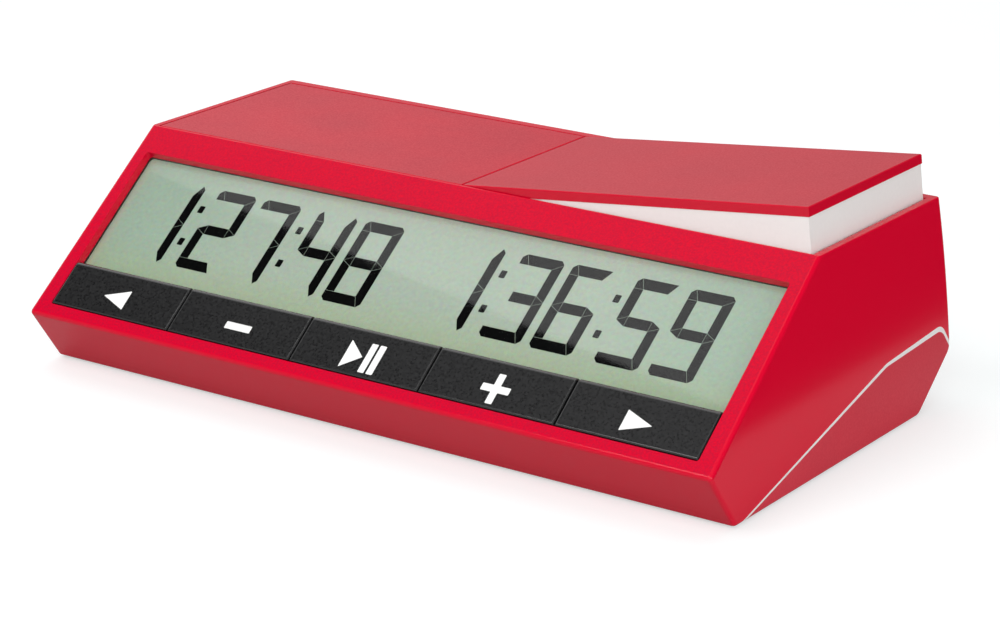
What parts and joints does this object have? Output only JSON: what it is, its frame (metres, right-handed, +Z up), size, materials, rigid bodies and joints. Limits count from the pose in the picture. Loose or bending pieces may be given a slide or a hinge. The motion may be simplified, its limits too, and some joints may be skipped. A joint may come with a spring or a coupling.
{
  "type": "chess clock",
  "caption": "Wedge-shaped digital chess clock with a wide sloping display, a row of keys below it and a long tilting rocker on top for the two players.",
  "frame": {"origin": "middle of the footprint, on the table, under the centre of the overall box", "axes": "+X along the clock's length, to the right of a player who faces the display; +Y to the back; +Z up"},
  "size_m": [0.222, 0.1226, 0.0704],
  "materials": {
    "case_plastic": "moulded red ABS, semi-gloss with a fine grain",
    "cover_plastic": "moulded red ABS, satin",
    "white_plastic": "moulded white ABS",
    "key_plastic": "charcoal grey, fine spark-eroded grain",
    "clear_lens": "clear acrylic sheet",
    "lcd_glass": "reflective liquid-crystal panel, grey green",
    "reflector_sheet": "white reflector sheet",
    "frame_plastic": "black moulded frame",
    "rubber": "silicone rubber",
    "circuit_board": "green glass-epoxy board",
    "chip_plastic": "black moulded epoxy",
    "steel": "nickel-plated steel",
    "magnet": "nickel-plated magnet",
    "battery_can": "plain sleeved can",
    "lead_cover": "insulated lead"
  },
  "bodies": {
    "case": {"upper_shell": "case_plastic", "lower_shell": "case_plastic", "trim_band": "white_plastic", "display_lens": "clear_lens", "lcd_panel": "lcd_glass", "lcd_reflector": "reflector_sheet", "lcd_frame": "frame_plastic", "foot_front_left": "rubber", "foot_front_right": "rubber", "foot_rear_left": "rubber", "foot_rear_right": "rubber", "rocker_bumpers": "rubber", "key_mat": "rubber", "zebra_strip": "rubber", "main_board": "circuit_board", "sensor_board": "circuit_board", "power_board": "circuit_board", "controller_chip": "chip_plastic", "hall_sensors": "chip_plastic", "power_switch": "chip_plastic", "buzzer": "chip_plastic", "battery_socket": "chip_plastic", "rocker_axle": "steel", "case_screws": "steel", "board_screws": "steel", "sensor_screws": "steel", "power_screws": "steel", "crystal": "steel", "battery_springs": "steel", "battery_plates": "steel", "battery_1": "battery_can", "battery_2": "battery_can", "capacitors": "battery_can", "battery_leads": "lead_cover", "sensor_lead": "lead_cover", "power_lead": "lead_cover"},
    "rocker": {"rocker_body": "white_plastic", "rocker_cover_left": "cover_plastic", "rocker_cover_right": "cover_plastic", "lever_magnets": "magnet"},
    "left_key": {"key_left": "key_plastic"},
    "minus_key": {"key_minus": "key_plastic"},
    "play_pause_key": {"key_play_pause": "key_plastic"},
    "plus_key": {"key_plus": "key_plastic"},
    "right_key": {"key_right": "key_plastic"},
    "power_key": {"power_button": "key_plastic"},
    "bay_door": {"battery_cover": "case_plastic"}
  },
  "joints": [
    {"name": "rocker_tilt", "type": "hinge", "parent": "case", "child": "rocker", "pos_m": [0, 0.02085, 0.05], "axis": [0, 1, 0], "range_deg": [0, 6.36]},
    {"name": "left_key_press", "type": "slide", "parent": "case", "child": "left_key", "axis": [0, 0.6266, -0.7793], "range_m": [0, 0.001], "stiffness_N_per_m": 800, "springref_m": -0.0005, "deforming": ["key_mat"]},
    {"name": "minus_key_press", "type": "slide", "parent": "case", "child": "minus_key", "axis": [0, 0.6266, -0.7793], "range_m": [0, 0.001], "stiffness_N_per_m": 800, "springref_m": -0.0005, "deforming": ["key_mat"]},
    {"name": "play_pause_key_press", "type": "slide", "parent": "case", "child": "play_pause_key", "axis": [0, 0.6266, -0.7793], "range_m": [0, 0.001], "stiffness_N_per_m": 800, "springref_m": -0.0005, "deforming": ["key_mat"]},
    {"name": "plus_key_press", "type": "slide", "parent": "case", "child": "plus_key", "axis": [0, 0.6266, -0.7793], "range_m": [0, 0.001], "stiffness_N_per_m": 800, "springref_m": -0.0005, "deforming": ["key_mat"]},
    {"name": "right_key_press", "type": "slide", "parent": "case", "child": "right_key", "axis": [0, 0.6266, -0.7793], "range_m": [0, 0.001], "stiffness_N_per_m": 800, "springref_m": -0.0005, "deforming": ["key_mat"]},
    {"name": "power_press", "type": "slide", "parent": "case", "child": "power_key", "axis": [0, 0, 1], "range_m": [0, 0.0006], "stiffness_N_per_m": 800, "springref_m": -0.0005},
    {"name": "bay_door_slide", "type": "slide", "parent": "case", "child": "bay_door", "axis": [0, 1, 0], "range_m": [0, 0.04]}
  ]
}
